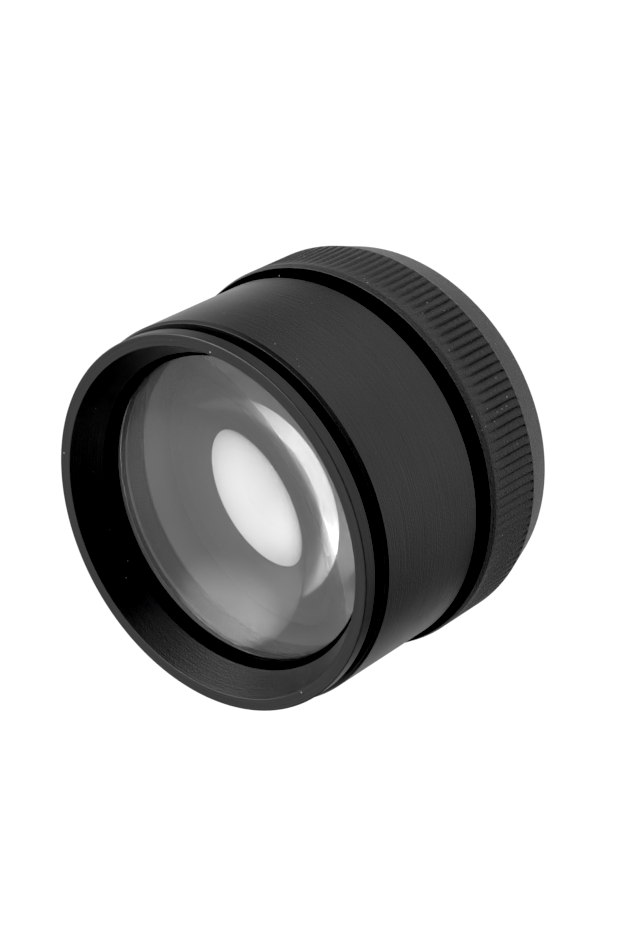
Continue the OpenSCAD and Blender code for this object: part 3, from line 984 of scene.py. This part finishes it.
# %% [markdown]
# ## Floor and light
# The ground is plain and white and has no shadow, so the floor is a pale plane that only the camera sees.
# Black gloss shows little but what it reflects, so soft panels of light draw the whole body. A large soft box
# stands high on one side with a second beside it, a weak one hangs overhead, and a pale one faces them. The
# white ground lights the loupe from below and behind. It is darker right under the loupe, where its own
# shade lies, and on the camera's side, where the room is dark. A panel with a strength below zero takes
# light away. One more stands high behind the loupe: the front lens sends its light round inside itself, and
# it comes out as a bright crescent. Each panel fades out softly from its middle, so that no reflection has
# a hard edge.

# %% Floor
floor_mesh = bpy.data.meshes.new("floor")
side, floor_z = 3.0, -2e-5
floor_mesh.from_pydata(
    [(x * side, y * side, floor_z) for x, y in ((-1, -1), (1, -1), (1, 1), (-1, 1))], [], [(0, 1, 2, 3)]
)
floor = bpy.data.objects.new("floor", floor_mesh)
bpy.context.scene.collection.objects.link(floor)
paper = bpy.data.materials.new("white_paper")
paper.use_nodes = True
sheet = paper.node_tree.nodes["Principled BSDF"]
paper_tree = paper.node_tree
# Slow clouds of fibre, a few millimetres across
fibre = add(paper_tree, "ShaderNodeTexNoise", {"Vector": millimetres(paper_tree), "Scale": 0.4, "Detail": 4.0})
white = add(
    paper_tree, "ShaderNodeMix", {"Factor": fibre, 6: linear("#fefefe"), 7: linear("#ffffff")}, data_type="RGBA"
)
paper_tree.links.new(white.outputs[2], sheet.inputs["Emission Color"])
sheet.inputs["Emission Strength"].default_value = 1.03
sheet.inputs["Base Color"].default_value = linear("#000000")
sheet.inputs["Specular IOR Level"].default_value = 0.0
floor_mesh.materials.append(paper)
floor.visible_glossy = floor.visible_diffuse = floor.visible_transmission = floor.visible_shadow = False
print(f"floor: {2 * side:.0f} m across")

# %% Light
world = bpy.data.worlds.new("studio")
bpy.context.scene.world = world
world.use_nodes = True
sky = world.node_tree
look = add(sky, "ShaderNodeTexCoord").outputs["Generated"]
level = 0.03
panels = [
    # direction, half angle of full light, half angle where it ends, strength
    ((0.70, -0.05, 0.71), 6, 37, 4.2),
    ((0.88, 0.33, 0.34), 9, 45, 2.0),
    ((0.0, 0.0, 1.0), 35, 79, 0.6),
    ((0.01, -0.51, -0.86), 15, 67, 0.97),
    ((-0.10, 0.57, -0.82), 7, 43, 0.8),
    ((-0.80, -0.30, 0.52), 14, 50, 0.58),
    ((0.42, 0.57, -0.71), 5, 30, 0.55),
    ((0.06, 0.73, 0.68), 14, 40, 0.33),
    ((0.40, 0.05, -0.91), 5, 25, 0.2),
    ((0.0, -0.1, -1.0), 8, 35, -0.2),
    ((-0.47, -0.79, 0.39), 24, 71, -0.53),
]
for aim, full, end, strength in panels:
    towards = add(sky, "ShaderNodeVectorMath", {0: look, 1: Vector(aim).normalized()}, operation="DOT_PRODUCT")
    dark, bright = math.cos(math.radians(end)), math.cos(math.radians(full))
    glow = add(
        sky,
        "ShaderNodeMapRange",
        {"Value": towards.outputs["Value"], 1: dark, 2: bright, 3: 0.0, 4: strength},
        interpolation_type="SMOOTHSTEP",
    )
    level = add(sky, "ShaderNodeMath", {0: level, 1: glow}, operation="ADD")
level = add(sky, "ShaderNodeMath", {0: level, 1: 0.0}, operation="MAXIMUM")
path = add(sky, "ShaderNodeLightPath")
level = add(sky, "ShaderNodeMath", {0: level, 1: path.outputs["Is Camera Ray"]}, operation="MAXIMUM")
sky.nodes["Background"].inputs["Color"].default_value = linear("#ffffff")
sky.links.new(level.outputs[0], sky.nodes["Background"].inputs["Strength"])
print("panels of light:", len(panels))

# %% [markdown]
# The picture is shown without a film look, so white paper stays white. Light has to pass the four faces of
# the lenses and come back, so glass gets enough bounces.

# %% Picture settings and the end
scene = bpy.context.scene
scene.view_settings.view_transform = "Standard"
scene.view_settings.look = "None"
# The print is made a little hard: the deepest blacks close up
scene.view_settings.use_curve_mapping = True
scene.view_settings.curve_mapping.black_level = (0.011, 0.011, 0.011)
scene.view_settings.curve_mapping.update()
scene.cycles.max_bounces = 24
scene.cycles.transmission_bounces = 16
scene.cycles.glossy_bounces = 8
scene.cycles.diffuse_bounces = 3
scene.cycles.use_denoising = True
